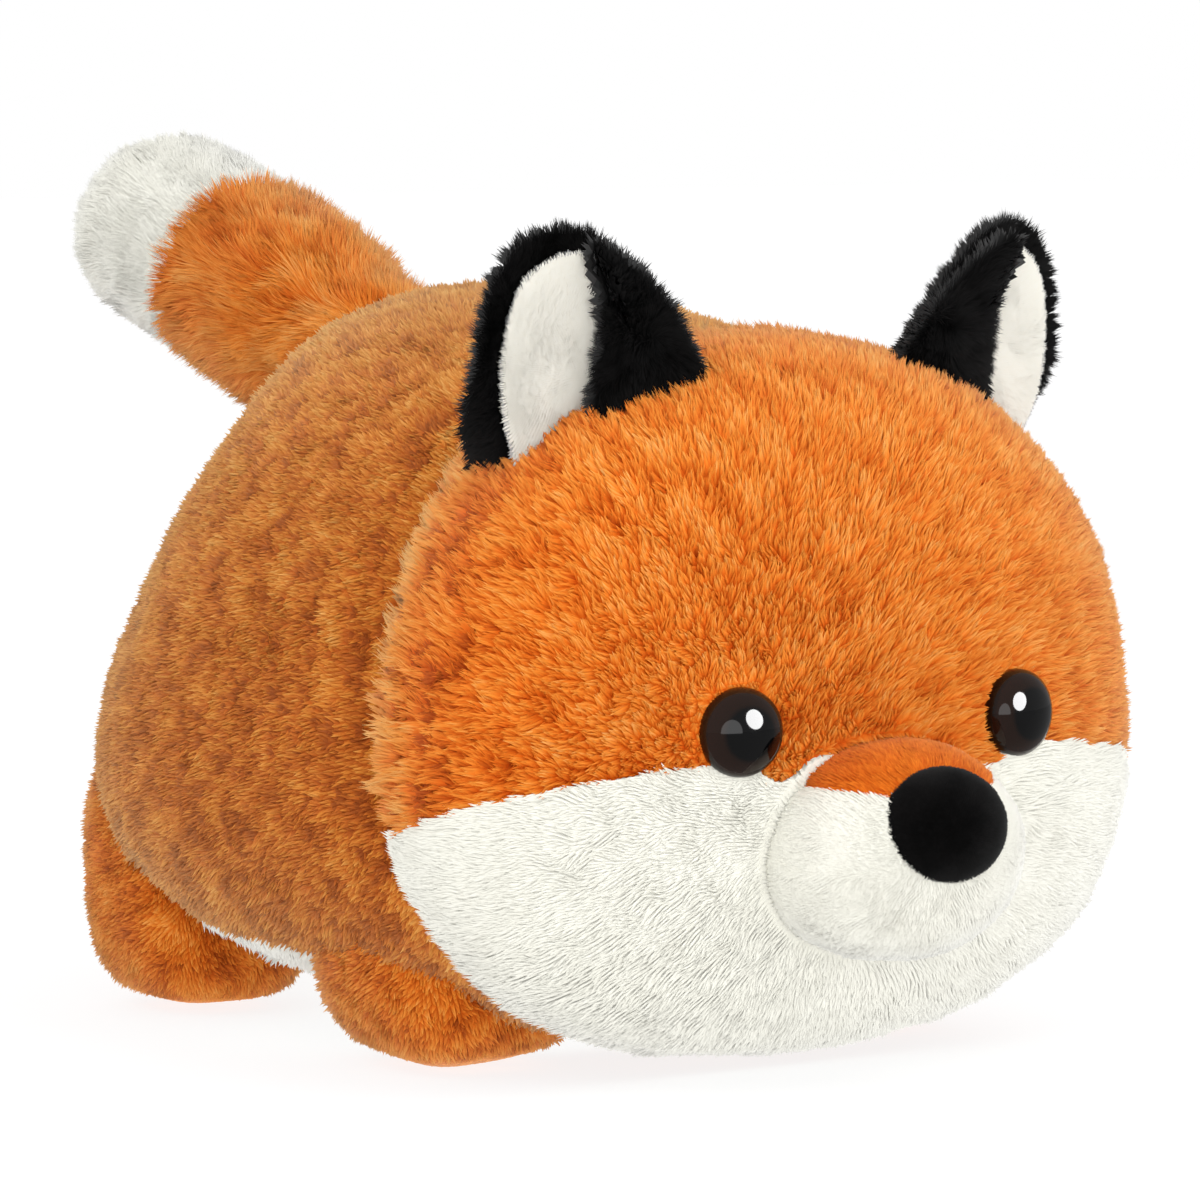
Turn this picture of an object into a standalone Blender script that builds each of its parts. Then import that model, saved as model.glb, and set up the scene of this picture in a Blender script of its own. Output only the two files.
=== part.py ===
"""A stuffed plush fox: sewn plush covers over stuffing, safety eyes, and ears and a tail that flex at their seams.

The fox looks along -Y and stands on Z = 0, and its right side is at -X. Everything is placed from the middle of
the body and moved at the end, so that the origin lies under the middle of the whole toy. Lengths are in metres.
"""

import math

import bmesh
import bpy
from mathutils import Matrix, Vector

# Fabric and running gaps
SEAM_GAP = 0.0003
PLUSH = 0.0042
SHORT_PLUSH = 0.0026
VELOUR = 0.0016
FLOOR_CUT = 0.0005
OVERRUN = 0.3
SHARP_ANGLE = math.radians(50)
ROUND_SHARE = 2.0
NEARBY_SHARE = 0.01
QUARTER = math.pi / 2
MERGE_DISTANCE = 0.00001

# Head: a wide ball, cut off where it is sewn to the body
HEAD_HALF_WIDTH = 0.0845
HEAD_FRONT_LENGTH = 0.0475
HEAD_BACK_LENGTH = 0.034
HEAD_HALF_HEIGHT = 0.0725
HEAD_FORWARD = 0.070
HEAD_RISE = 0.0745
HEAD_CROSS_SHARE = 2.3
HEAD_LONG_SHARE = 2.4
HEAD_NARROWING_SHARE = 0.22

# Body: a longer form that narrows and shortens towards its top, tilted with its back up
BODY_HALF_WIDTH = 0.0825
BODY_FRONT_LENGTH = 0.1150
BODY_REAR_LENGTH = 0.1105
BODY_HALF_HEIGHT = 0.0735
BODY_FORWARD = 0.012
BODY_RISE = 0.0785
BODY_CROSS_SHARE = 2.5
BODY_LONG_SHARE = 2.4
BODY_NARROWING_SHARE = 0.46
BODY_SHORTENING_SHARE = 0.52
BODY_TILT = math.radians(3)
NECK_FORWARD = 0.0670
NECK_TILT = math.radians(13)
BELLY_SEAM_RISE = 0.022

# Seam between the orange crown and the white face, which falls towards the neck
FACE_SEAM_RISE = 0.0500
FACE_SEAM_SLOPE_SHARE = 0.33

# Legs
FRONT_LEG_RADIUS = 0.0265
REAR_LEG_RADIUS = 0.0235
LEG_HALF_HEIGHT = 0.031
FRONT_LEG_OFFSET_SHARE = 0.58
REAR_LEG_OFFSET_SHARE = 0.576
FRONT_LEG_FORWARD = 0.038
REAR_LEG_BACK = 0.062
LEG_SHARE = 2.7

# Muzzle and nose
MUZZLE_HALF_WIDTH = 0.0265
MUZZLE_HALF_LENGTH = 0.0218
MUZZLE_HALF_HEIGHT = 0.0215
MUZZLE_FORWARD = 0.1160
MUZZLE_RISE = 0.0480
MUZZLE_SEAM_RISE = 0.0575
NOSE_HALF_WIDTH = 0.0142
NOSE_HALF_LENGTH = 0.0100
NOSE_HALF_HEIGHT = 0.0116
NOSE_FORWARD = 0.1330
NOSE_RISE = 0.0538

# Eyes: a domed cap on a shank, held by a washer behind the fabric
EYE_RADIUS = 0.0087
EYE_DOME = 0.0062
EYE_RIM = 0.0010
EYE_OFFSET = 0.0338
EYE_RISE = 0.0724
EYE_SINK = 0.0026
SHANK_RADIUS = 0.0025
SHANK_LENGTH = 0.0130
WASHER_RADIUS = 0.0090
WASHER_THICKNESS = 0.0018
WASHER_DEPTH = 0.0052

# Ears: cupped petals, each with a lining, that fold along the seam at their foot
EAR_HALF_WIDTH = 0.0230
EAR_HEIGHT = 0.0325
EAR_LEAN = 0.0060
EAR_THICKNESS = 0.0040
EAR_FOOT_CUP = 0.0060
EAR_TOP_CUP = 0.0120
EAR_INNER_CURL_SHARE = 1.2
EAR_FOOT_DEPTH = 0.0050
EAR_OFFSET = 0.0465
EAR_FORWARD = 0.0775
EAR_RISE = 0.1315
EAR_SEAM_DIRECTION = (0.84, -0.20, 0.50)
EAR_UP_DIRECTION = (-0.48, -0.12, 0.87)
EAR_ROUND_SHARE = 1.75
EAR_TIP_SHARE = 0.03
EAR_FOLD = math.radians(30)
LINING_THICKNESS = 0.0024
LINING_GAP = 0.0007
LINING_ROUND_SHARE = 3.0
LINING_HALF_WIDTH = 0.0115
LINING_HEIGHT = 0.0275
LINING_OFFSET = -0.0080
LINING_LEAN = 0.0140

# Tail: a fat roll with a rounded root that sits in the opening of the body's back
TAIL_RADIUS = 0.0225
TAIL_ROOT_RADIUS = 0.0185
TAIL_LENGTH = 0.1075
TAIL_TIP_LENGTH = 0.0480
TAIL_SWELL_LENGTH = 0.0280
TAIL_HEIGHT = 0.0115
TAIL_FOOT_RADIUS = 0.0120
TAIL_OPENING_RADIUS = 0.0080
TAIL_ROOT_SHARES = (0.67, 0.44, 0.22, 0)
TAIL_SWELL_SHARES = (0.3, 0.6, 1)
TAIL_END_SHARES = (0, 0.24, 0.48, 0.7, 0.87)
TAIL_RISE_ANGLE = math.radians(18)
TAIL_SEAT_ANGLE = math.radians(39.7)

# Mesh fineness
BODY_STEPS = (28, 14)
LEG_STEPS = (16, 8)
MUZZLE_STEPS = (18, 10)
NOSE_STEPS = (16, 8)
TURN_STEPS = 20
DOME_STEPS = 6
EAR_STEPS = (8, 8)

ORANGE = ("orange_plush", (0.60, 0.24, 0.06), 0.95)
BODY_ORANGE = ("body_plush", (0.52, 0.22, 0.06), 0.95)
WHITE = ("white_plush", (0.86, 0.84, 0.79), 0.95)
CREAM = ("cream_plush", (0.84, 0.79, 0.68), 0.95)
BLACK = ("black_plush", (0.012, 0.011, 0.011), 0.95)
NOSE_BLACK = ("black_velour", (0.010, 0.009, 0.009), 0.90)
EYE_GLOSS = ("eye_plastic", (0.010, 0.006, 0.005), 0.08)
WASHER_WHITE = ("washer_plastic", (0.75, 0.75, 0.73), 0.45)
FILLING = ("polyester_filling", (0.88, 0.88, 0.86), 1.00)


def make_collection(name):
    group = bpy.data.collections.new(name)
    bpy.context.scene.collection.children.link(group)
    return group


for old in list(bpy.data.objects):
    bpy.data.objects.remove(old)
PARTS = make_collection("plush_fox")
CUTTERS = make_collection("cutters")


def material(look):
    """The Principled material of a look (name, colour, roughness), made once."""
    name, colour, roughness = look
    found = bpy.data.materials.get(name)
    if found:
        return found
    made = bpy.data.materials.new(name)
    made.use_nodes = True
    shader = made.node_tree.nodes["Principled BSDF"]
    shader.inputs["Base Color"].default_value = (*colour, 1)
    shader.inputs["Roughness"].default_value = roughness
    shader.inputs["Metallic"].default_value = 0
    return made


def place(name, mesh, look=None):
    """An object of the mesh: a piece with its material, or a hidden cutter."""
    made = bpy.data.objects.new(name, mesh)
    if look:
        PARTS.objects.link(made)
        mesh.materials.append(material(look))
        mesh.shade_smooth()
        mesh.set_sharp_from_angle(angle=SHARP_ANGLE)
    else:
        CUTTERS.objects.link(made)
        made.hide_render = True
        made.display_type = "WIRE"
    return made


def finished(shape, name):
    """The bmesh as a mesh whose faces point out."""
    bmesh.ops.recalc_face_normals(shape, faces=shape.faces)
    mesh = bpy.data.meshes.new(name)
    shape.to_mesh(mesh)
    shape.free()
    return mesh


def trim(piece, cutter):
    """Cuts away from the piece what it shares with another object."""
    step = piece.modifiers.new(cutter.name, "BOOLEAN")
    step.operation = "DIFFERENCE"
    step.solver = "EXACT"
    step.object = cutter
    return piece


class Form:
    """A stuffed shape: a ball with its own half sizes, squarer than an ellipsoid, that may narrow with height.

    half holds half the width, the reach to the front and to the back, and half the height.
    """

    def __init__(self, centre, half, shares, steps, narrowing_share=0.0, shortening_share=0.0, tilt=0.0):
        self.centre = Vector(centre)
        self.half = half
        self.cross_share, self.long_share = shares
        self.steps = steps
        self.narrowing_share = narrowing_share
        self.shortening_share = shortening_share
        self.turn = Matrix.Rotation(tilt, 3, "X")

    def at(self, direction):
        """The surface point where a ray of the unit ball in this direction comes out."""
        x, y, z = direction
        cross = (abs(x) ** self.cross_share + abs(z) ** self.cross_share) ** (self.long_share / self.cross_share)
        reach = (cross + abs(y) ** self.long_share) ** (-1 / self.long_share)
        length = self.half[1] if y < 0 else self.half[2]
        point = Vector((x * self.half[0], y * length, z * self.half[3])) * reach
        height_share = z * reach / 2
        point.x *= 1 - self.narrowing_share * height_share
        point.y *= 1 - self.shortening_share * height_share
        return self.centre + self.turn @ point

    def shares(self, point):
        """The direction towards a place, in shares of the half sizes."""
        x, y, z = Vector(point) - self.centre
        length = self.half[1] if y < 0 else self.half[2]
        return x / self.half[0], y / length, z / self.half[3]

    def mesh(self, name, inset=0.0):
        """The closed form, with every point moved in along its normal."""
        shape = bmesh.new()
        around, along = self.steps
        lying = Matrix.Rotation(QUARTER, 4, "X") @ Matrix.Rotation(math.pi / around, 4, "Z")
        bmesh.ops.create_uvsphere(shape, u_segments=around, v_segments=along, radius=1, matrix=lying)
        for corner in shape.verts:
            corner.co = self.at(corner.co.normalized())
        bmesh.ops.recalc_face_normals(shape, faces=shape.faces)
        shape.normal_update()
        moved = [corner.co - corner.normal * inset for corner in shape.verts]
        for corner, target in zip(shape.verts, moved):
            corner.co = target
        return finished(shape, name)

    def facing(self, direction):
        """The surface point in a direction, and the way the surface faces there."""
        here = self.at(direction)
        side = Vector(direction).orthogonal().normalized() * NEARBY_SHARE
        other = Vector(direction).cross(side).normalized() * NEARBY_SHARE
        way = (self.at(Vector(direction) + side) - here).cross(self.at(Vector(direction) + other) - here)
        if way.dot(here - self.centre) < 0:
            way.negate()
        return here, way.normalized()

    def cutter(self, name, inset=0.0):
        return place(name, self.mesh(name, inset))


def cover(name, form, thickness, look):
    """A hollow cover: the form with the space for its stuffing taken out."""
    piece = place(name, form.mesh(name), look)
    return trim(piece, form.cutter(name + "_hollow", thickness))


def half_space(name, point, way):
    """A cutter that removes everything on one side of a plane."""
    shape = bmesh.new()
    bmesh.ops.create_cube(shape, size=2 * OVERRUN)
    bmesh.ops.translate(shape, verts=shape.verts, vec=(0, 0, OVERRUN))
    cutter = place(name, finished(shape, name))
    cutter.matrix_world = Matrix.Translation(point) @ Vector(way).to_track_quat("Z", "Y").to_matrix().to_4x4()
    return cutter


def turned(name, profile, look=None):
    """A profile of (radius, height) points, from top to bottom on its outer side, turned about Z."""
    mesh = bpy.data.meshes.new(name)
    points = [(radius, 0, height) for radius, height in profile]
    mesh.from_pydata(points, [(i, i + 1) for i in range(len(points) - 1)], [])
    piece = place(name, mesh, look)
    turn = piece.modifiers.new("turn", "SCREW")
    turn.steps = turn.render_steps = TURN_STEPS
    turn.use_merge_vertices = True
    turn.merge_threshold = MERGE_DISTANCE
    return piece


def stand(piece, point, way):
    """Puts a turned piece at a point, with its axis along a direction."""
    piece.matrix_world = Matrix.Translation(point) @ Vector(way).to_track_quat("Z", "Y").to_matrix().to_4x4()


def hang(name, point, pieces):
    """An empty on a joint's axis that carries the pieces which move about it."""
    pivot = bpy.data.objects.new(name, None)
    PARTS.objects.link(pivot)
    pivot.location = point
    bpy.context.view_layer.update()
    for piece in pieces:
        piece.parent = pivot
        piece.matrix_parent_inverse = pivot.matrix_world.inverted()
    return pivot


def dome(radius, height, rim):
    """Points (radius, height) of a dome, from the middle of its top down to its rim."""
    angles = [QUARTER * (1 - i / DOME_STEPS) for i in range(1, DOME_STEPS + 1)]
    return [(0, height)] + [(radius * math.cos(a), rim + (height - rim) * math.sin(a)) for a in angles]


HEAD = Form((0, -HEAD_FORWARD, HEAD_RISE), (HEAD_HALF_WIDTH, HEAD_FRONT_LENGTH, HEAD_BACK_LENGTH, HEAD_HALF_HEIGHT),
            (HEAD_CROSS_SHARE, HEAD_LONG_SHARE), BODY_STEPS, HEAD_NARROWING_SHARE)
BODY = Form((0, -BODY_FORWARD, BODY_RISE),
            (BODY_HALF_WIDTH, BODY_FRONT_LENGTH, BODY_REAR_LENGTH, BODY_HALF_HEIGHT),
            (BODY_CROSS_SHARE, BODY_LONG_SHARE), BODY_STEPS, BODY_NARROWING_SHARE, BODY_SHORTENING_SHARE, BODY_TILT)
MUZZLE = Form((0, -MUZZLE_FORWARD, MUZZLE_RISE),
              (MUZZLE_HALF_WIDTH, MUZZLE_HALF_LENGTH, MUZZLE_HALF_LENGTH, MUZZLE_HALF_HEIGHT),
              (ROUND_SHARE, ROUND_SHARE), MUZZLE_STEPS)
NOSE = Form((0, -NOSE_FORWARD, NOSE_RISE),
            (NOSE_HALF_WIDTH, NOSE_HALF_LENGTH, NOSE_HALF_LENGTH, NOSE_HALF_HEIGHT),
            (ROUND_SHARE, ROUND_SHARE), NOSE_STEPS)

HEAD_CLEARANCE = HEAD.cutter("head_clearance", -SEAM_GAP)
BODY_CLEARANCE = BODY.cutter("body_clearance", -SEAM_GAP)
MUZZLE_CLEARANCE = MUZZLE.cutter("muzzle_clearance", -SEAM_GAP)
NECK = Vector((0, -NECK_FORWARD, HEAD_RISE))
NECK_WAY = Vector((0, math.cos(NECK_TILT), -math.sin(NECK_TILT)))
BEHIND_NECK = half_space("behind_neck", NECK - NECK_WAY * SEAM_GAP / 2, NECK_WAY)
BEFORE_NECK = half_space("before_neck", NECK + NECK_WAY * SEAM_GAP / 2, -NECK_WAY)
FLOOR = half_space("floor", (0, 0, 0), (0, 0, -1))


def front_of(form, offset, rise):
    """The direction, in the form's own shares, that leads to a sideways offset and a height on its front."""
    up = (rise - form.centre.z) / form.half[3]
    across = offset / (form.half[0] * (1 - form.narrowing_share * up / 2))
    flat = (abs(across) ** form.cross_share + abs(up) ** form.cross_share) ** (form.long_share / form.cross_share)
    return (across, -((1 - flat) ** (1 / form.long_share)), up)


def build_eye(side, name):
    """A domed safety eye, its lock washer, and the cutter that seats both in cover and stuffing."""
    point, way = HEAD.facing(front_of(HEAD, side * EYE_OFFSET, EYE_RISE))
    back = point - way * EYE_SINK
    shank = [(EYE_RADIUS, 0), (SHANK_RADIUS, 0), (SHANK_RADIUS, -SHANK_LENGTH), (0, -SHANK_LENGTH)]
    stand(turned(name, dome(EYE_RADIUS, EYE_DOME, EYE_RIM) + shank, EYE_GLOSS), back, way)

    washer_top = EYE_SINK - WASHER_DEPTH
    washer_foot = washer_top - WASHER_THICKNESS
    bore = SHANK_RADIUS + SEAM_GAP
    ring = [(bore, washer_top), (WASHER_RADIUS, washer_top), (WASHER_RADIUS, washer_foot), (bore, washer_foot),
            (bore, washer_top)]
    stand(turned(name + "_washer", ring, WASHER_WHITE), back, way)

    rim = EYE_RADIUS + SEAM_GAP
    pocket = WASHER_RADIUS + SEAM_GAP
    seat = [(0, 2 * EYE_DOME), (rim, 2 * EYE_DOME), (rim, -SEAM_GAP), (bore, -SEAM_GAP),
            (bore, washer_top + SEAM_GAP), (pocket, washer_top + SEAM_GAP), (pocket, washer_foot - SEAM_GAP),
            (bore, washer_foot - SEAM_GAP), (bore, -SHANK_LENGTH - SEAM_GAP), (0, -SHANK_LENGTH - SEAM_GAP)]
    cutter = turned(name + "_seat", seat)
    stand(cutter, back, way)
    return cutter


def build_head():
    """Orange crown and white face over one filling, with both eyes seated in them."""
    seam_way = Vector((0, FACE_SEAM_SLOPE_SHARE, 1)).normalized()
    seam_point = Vector((0, -HEAD_FORWARD, FACE_SEAM_RISE))
    below = half_space("below_face_seam", seam_point + seam_way * SEAM_GAP / 2, -seam_way)
    above = half_space("above_face_seam", seam_point - seam_way * SEAM_GAP / 2, seam_way)
    crown = cover("head_top_cover", HEAD, PLUSH, ORANGE)
    face = cover("face_cover", HEAD, PLUSH, WHITE)
    filling = place("head_filling", HEAD.mesh("head_filling", PLUSH + SEAM_GAP), FILLING)
    seats = [build_eye(-1, "right_eye"), build_eye(1, "left_eye")]
    for piece in (crown, face, filling):
        trim(piece, BEHIND_NECK)
    trim(crown, below)
    trim(face, above)
    for piece in (crown, face, filling):
        for seat in seats:
            trim(piece, seat)


def build_body():
    """Two side covers and a belly cover over one filling, open in front at the neck and behind at the tail."""
    under = half_space("under_belly_seam", (0, 0, BELLY_SEAM_RISE + SEAM_GAP / 2), (0, 0, -1))
    over = half_space("over_belly_seam", (0, 0, BELLY_SEAM_RISE - SEAM_GAP / 2), (0, 0, 1))
    right = half_space("right_of_back_seam", (SEAM_GAP / 2, 0, 0), (-1, 0, 0))
    left = half_space("left_of_back_seam", (-SEAM_GAP / 2, 0, 0), (1, 0, 0))
    right_side = trim(trim(cover("right_side_cover", BODY, PLUSH, BODY_ORANGE), left), under)
    left_side = trim(trim(cover("left_side_cover", BODY, PLUSH, BODY_ORANGE), right), under)
    belly = trim(cover("belly_cover", BODY, PLUSH, WHITE), over)
    filling = place("body_filling", BODY.mesh("body_filling", PLUSH + SEAM_GAP), FILLING)
    for piece in (right_side, left_side, belly, filling):
        trim(piece, BEFORE_NECK)
    return right_side, left_side, filling


def build_leg(name, across, along, radius):
    """A short stuffed leg, cut flat under the foot and shaped to the body and head that it is sewn to."""
    form = Form((across, along, LEG_HALF_HEIGHT - FLOOR_CUT), (radius, radius, radius, LEG_HALF_HEIGHT),
                (LEG_SHARE, LEG_SHARE), LEG_STEPS)
    filling = place(name + "_filling", form.mesh(name, PLUSH + SEAM_GAP), FILLING)
    for piece in (cover(name + "_cover", form, PLUSH, BODY_ORANGE), filling):
        trim(piece, BODY_CLEARANCE)
        trim(piece, HEAD_CLEARANCE)
        trim(piece, FLOOR)


def build_muzzle():
    """White muzzle with its orange patch, and the velour nose in front of it."""
    below = half_space("below_muzzle_seam", (0, 0, MUZZLE_SEAM_RISE + SEAM_GAP / 2), (0, 0, -1))
    above = half_space("above_muzzle_seam", (0, 0, MUZZLE_SEAM_RISE - SEAM_GAP / 2), (0, 0, 1))
    white = trim(cover("muzzle_cover", MUZZLE, SHORT_PLUSH, WHITE), above)
    patch = trim(cover("muzzle_top_patch", MUZZLE, SHORT_PLUSH, ORANGE), below)
    filling = place("muzzle_filling", MUZZLE.mesh("muzzle_filling", SHORT_PLUSH + SEAM_GAP), FILLING)
    for piece in (white, patch, filling):
        trim(piece, HEAD_CLEARANCE)
    nose = cover("nose_cover", NOSE, VELOUR, NOSE_BLACK)
    nose_filling = place("nose_filling", NOSE.mesh("nose_filling", VELOUR + SEAM_GAP), FILLING)
    for piece in (nose, nose_filling):
        trim(piece, MUZZLE_CLEARANCE)


def petal(name, frame, outline, depth, thickness, look):
    """A cupped petal that stands on a seam: rows from foot to tip, bent forward at both rims."""
    columns, rows = EAR_STEPS
    shape = bmesh.new()
    bmesh.ops.create_grid(shape, x_segments=columns, y_segments=rows, size=1)
    for corner in shape.verts:
        across, up = corner.co.x, (corner.co.y + 1) / 2
        corner.co = frame @ Vector(outline(across, up, depth))
    bmesh.ops.recalc_face_normals(shape, faces=shape.faces)
    front = frame.to_3x3() @ Vector((0, 0, 1))
    if sum((face.normal for face in shape.faces), Vector()).dot(front) < 0:
        bmesh.ops.reverse_faces(shape, faces=shape.faces)
    mesh = bpy.data.meshes.new(name)
    shape.to_mesh(mesh)
    shape.free()
    piece = place(name, mesh, look)
    wall = piece.modifiers.new("wall", "SOLIDIFY")
    wall.thickness = thickness
    wall.offset = -1
    return piece


def ear_cup(across, height):
    """How far the ear's front bends forward at a place across and above its foot, more on the inner side."""
    middle = across - EAR_LEAN * height / EAR_HEIGHT
    bend = EAR_FOOT_CUP + (EAR_TOP_CUP - EAR_FOOT_CUP) * max(height, 0) / EAR_HEIGHT
    curl = EAR_INNER_CURL_SHARE if middle > 0 else 1
    return curl * bend * (middle / EAR_HALF_WIDTH) ** 2


def ear_outline(across_share, up_share, depth):
    """The ear's rounded outline, with its foot reaching down into the head."""
    height = -EAR_FOOT_DEPTH + (EAR_HEIGHT + EAR_FOOT_DEPTH) * math.sin(up_share * QUARTER)
    lift_share = max(height, 0) / EAR_HEIGHT
    wide = EAR_HALF_WIDTH * max(1 - lift_share ** EAR_ROUND_SHARE, EAR_TIP_SHARE) ** 0.5
    across = wide * across_share + EAR_LEAN * height / EAR_HEIGHT
    return across, height, depth + ear_cup(across, height)


def lining_outline(across_share, up_share, depth):
    """The lining: a narrower tongue that leans towards the ear's inner edge."""
    height = -EAR_FOOT_DEPTH + (LINING_HEIGHT + EAR_FOOT_DEPTH) * math.sin(up_share * QUARTER)
    lift_share = max(height, 0) / LINING_HEIGHT
    wide = LINING_HALF_WIDTH * max(1 - lift_share ** LINING_ROUND_SHARE, EAR_TIP_SHARE) ** 0.5
    across = LINING_OFFSET + LINING_LEAN * height / LINING_HEIGHT + wide * across_share
    return across, height, depth + ear_cup(across, height)


def build_ear(side, name):
    """A black petal with a cream lining, cut at its foot so that it clears the head as it folds."""
    seam = Vector(EAR_SEAM_DIRECTION).normalized()
    rise = Vector(EAR_UP_DIRECTION)
    rise = (rise - seam * rise.dot(seam)).normalized()
    front = seam.cross(rise)
    foot = Vector((-EAR_OFFSET, -EAR_FORWARD, EAR_RISE))
    seat = HEAD.at(HEAD.shares(foot))
    columns = Matrix((seam, rise, front)).transposed().to_4x4()
    frame = Matrix.Translation(seat) @ columns
    if side > 0:
        frame = Matrix.Diagonal((-1, 1, 1, 1)) @ frame
    lining_front = (EAR_THICKNESS + LINING_THICKNESS + LINING_GAP) / 2
    back_front = lining_front - LINING_THICKNESS - LINING_GAP
    back = petal(name + "_back", frame, ear_outline, back_front, EAR_THICKNESS, BLACK)
    lining = petal(name + "_lining", frame, lining_outline, lining_front, LINING_THICKNESS, CREAM)
    pivot, axis = frame.translation.copy(), (frame.to_3x3() @ Vector((1, 0, 0))).normalized()
    for turn in (-EAR_FOLD, 0, EAR_FOLD):
        swing = Matrix.Translation(pivot) @ Matrix.Rotation(turn, 4, axis) @ Matrix.Translation(-pivot)
        relief = place(f"{name}_relief_{round(math.degrees(turn))}", HEAD_CLEARANCE.data)
        relief.matrix_world = swing
        trim(back, relief)
        trim(lining, relief)
    hang(name + "_seam", pivot, (back, lining))
    return pivot, axis


def tail_radius(height, inset, bore):
    """The tail's radius at a height above the pivot, in by an inset, and no narrower at its root than a bore."""
    root = TAIL_ROOT_RADIUS - inset
    fat = TAIL_RADIUS - inset
    if height <= 0:
        return max(math.sqrt(max(root ** 2 - height ** 2, 0)), bore)
    over = height - (TAIL_LENGTH - TAIL_RADIUS)
    if over > 0:
        return math.sqrt(max(fat ** 2 - over ** 2, 0))
    reach = min(height / TAIL_SWELL_LENGTH, 1)
    return root + (fat - root) * (3 - 2 * reach) * reach ** 2


def tail_profile(inset, start, end, bore=0.0):
    """Points (radius, height above the pivot) of the tail's side, from the tip's end down to the root's."""
    heights = [-(TAIL_ROOT_RADIUS - inset) * math.sin(QUARTER * share) for share in TAIL_ROOT_SHARES]
    heights += [TAIL_SWELL_LENGTH * share for share in TAIL_SWELL_SHARES]
    heights += [TAIL_LENGTH - TAIL_RADIUS + (TAIL_RADIUS - inset) * math.sin(QUARTER * share)
                for share in TAIL_END_SHARES]
    inside = [height for height in heights if start + inset / 4 < height < end - inset / 4]
    return [(tail_radius(height, inset, bore), height) for height in [end] + inside[::-1] + [start]]


def build_tail(covers):
    """Orange tail, white tip and their filling, on a rounded root in an opening of the body's back."""
    seat, _ = BODY.facing((0, math.cos(TAIL_SEAT_ANGLE), math.sin(TAIL_SEAT_ANGLE)))
    way = Vector((0, math.cos(TAIL_RISE_ANGLE), math.sin(TAIL_RISE_ANGLE)))
    pivot = seat + way * TAIL_HEIGHT
    seam = TAIL_LENGTH - TAIL_TIP_LENGTH
    foot = -math.sqrt(TAIL_ROOT_RADIUS ** 2 - TAIL_FOOT_RADIUS ** 2)
    outer = tail_profile(0, foot, seam - SEAM_GAP / 2)
    inner = tail_profile(PLUSH, foot, seam - SEAM_GAP / 2, TAIL_OPENING_RADIUS)
    sleeve = turned("tail_cover", outer + inner[::-1] + outer[:1], BODY_ORANGE)
    tip_outer = tail_profile(0, seam + SEAM_GAP / 2, TAIL_LENGTH)
    tip_inner = tail_profile(PLUSH, seam + SEAM_GAP / 2, TAIL_LENGTH - PLUSH)
    tip = turned("tail_tip_cover", tip_outer + tip_inner[::-1], WHITE)
    thin = PLUSH + SEAM_GAP
    core = tail_profile(thin, foot, TAIL_LENGTH - thin, TAIL_OPENING_RADIUS - SEAM_GAP)
    filling = turned("tail_filling", core + [(0, foot)], FILLING)
    for piece in (sleeve, tip, filling):
        stand(piece, pivot, way)

    ball = bmesh.new()
    bmesh.ops.create_uvsphere(ball, u_segments=TURN_STEPS, v_segments=TURN_STEPS // 2,
                              radius=TAIL_ROOT_RADIUS + 2 * SEAM_GAP, matrix=Matrix.Translation(pivot))
    socket = place("tail_socket", finished(ball, "tail_socket"))
    for piece in covers:
        trim(piece, socket)
    hang("tail_seam", pivot, (sleeve, tip, filling))
    return pivot, way


def centre_on_origin():
    """Moves the fox so that the origin lies on the floor under the middle of the whole toy."""
    bpy.context.view_layer.update()
    graph = bpy.context.evaluated_depsgraph_get()
    reach = []
    for piece in PARTS.objects:
        if piece.type == "MESH":
            seen = piece.evaluated_get(graph)
            reach += [(seen.matrix_world @ corner.co).y for corner in seen.data.vertices]
    shift = -(min(reach) + max(reach)) / 2
    root = bpy.data.objects.new("fox_origin", None)
    PARTS.objects.link(root)
    for piece in list(PARTS.objects) + list(CUTTERS.objects):
        if piece.parent is None and piece is not root:
            piece.parent = root
    root.location.y = shift
    bpy.context.view_layer.update()
    return shift


build_head()
build_muzzle()
body_covers = build_body()
for side, flank in ((-1, "right"), (1, "left")):
    build_leg(f"front_{flank}_leg", side * FRONT_LEG_OFFSET_SHARE * HEAD_HALF_WIDTH, -FRONT_LEG_FORWARD, FRONT_LEG_RADIUS)
    build_leg(f"rear_{flank}_leg", side * REAR_LEG_OFFSET_SHARE * BODY_HALF_WIDTH, REAR_LEG_BACK, REAR_LEG_RADIUS)
joints = {
    "right_ear": build_ear(-1, "right_ear"),
    "left_ear": build_ear(1, "left_ear"),
    "tail": build_tail(body_covers),
}
shift = centre_on_origin()
for joint, (pivot, axis) in joints.items():
    print(joint, "pivot", tuple(round(v, 6) for v in pivot + Vector((0, shift, 0))), "axis",
          tuple(round(v, 6) for v in axis))
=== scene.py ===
"""A stuffed plush fox on a pale floor, dressed with its pile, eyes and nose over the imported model.

The fox looks along -Y, its right side is at -X, and every length is in metres.
"""
import math

import bpy
import numpy as np
from mathutils import Matrix, Vector


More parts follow.
